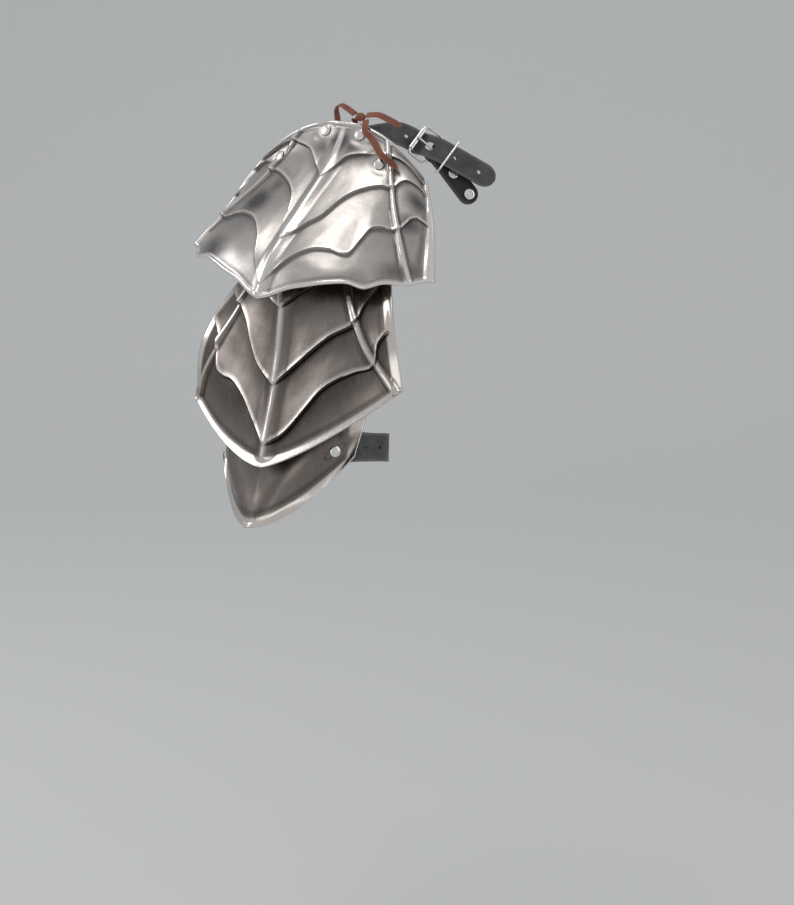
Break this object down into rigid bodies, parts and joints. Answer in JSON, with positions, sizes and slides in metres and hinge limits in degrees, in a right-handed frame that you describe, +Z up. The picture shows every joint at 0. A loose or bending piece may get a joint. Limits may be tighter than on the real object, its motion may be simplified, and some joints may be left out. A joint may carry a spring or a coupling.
{
  "type": "gothic style pauldron",
  "caption": "Steel pauldron for a left shoulder: a ridged and fluted cap over two pointed lames on leathers, with a buckled shoulder strap, an arm strap and a tied lace.",
  "frame": {"origin": "the shoulder seat: the outer face of the cap on its neck rim, at the middle ridge", "axes": "+Z up, -Y outward from the wearer's neck over the shoulder, +X towards the wearer's back"},
  "size_m": [0.273, 0.2244, 0.3571],
  "materials": {
    "steel": "polished warm grey steel, worn bright on the ridges and darkened in the recesses",
    "dark_steel": "darkened steel, brushed, bright on its rims",
    "bright_metal": "bright nickel plated fittings",
    "grey_leather": "dark grey waxed leather",
    "black_leather": "black leather",
    "hanger_leather": "dark brown leather, rough inside",
    "lace_leather": "orange brown leather lace"
  },
  "bodies": {
    "root": {"arm_clasp_stud": "bright_metal", "arm_rivet_back": "bright_metal", "arm_rivet_front": "bright_metal", "arm_strap": "grey_leather", "arm_strap_end": "grey_leather", "hanger_rivet_back": "bright_metal", "hanger_rivet_front": "bright_metal", "hanging_leather_back": "hanger_leather", "hanging_leather_front": "hanger_leather", "lace_knot": "lace_leather", "lace_loop": "lace_leather", "lace_tail_lower": "lace_leather", "lace_tail_upper": "lace_leather", "lower_lame": "dark_steel", "lower_rivet_back": "bright_metal", "lower_rivet_front": "bright_metal", "middle_lame": "dark_steel", "middle_rivet_back": "bright_metal", "middle_rivet_front": "bright_metal", "rim_rivet_back": "bright_metal", "rim_rivet_front": "bright_metal", "shoulder_buckle_frame": "bright_metal", "shoulder_buckle_roller": "bright_metal", "shoulder_buckle_tongue": "bright_metal", "shoulder_cap": "steel", "shoulder_chape": "black_leather", "shoulder_chape_rivet_1": "bright_metal", "shoulder_chape_rivet_2": "bright_metal", "shoulder_strap": "grey_leather", "strap_keeper": "bright_metal"}
  },
  "joints": []
}
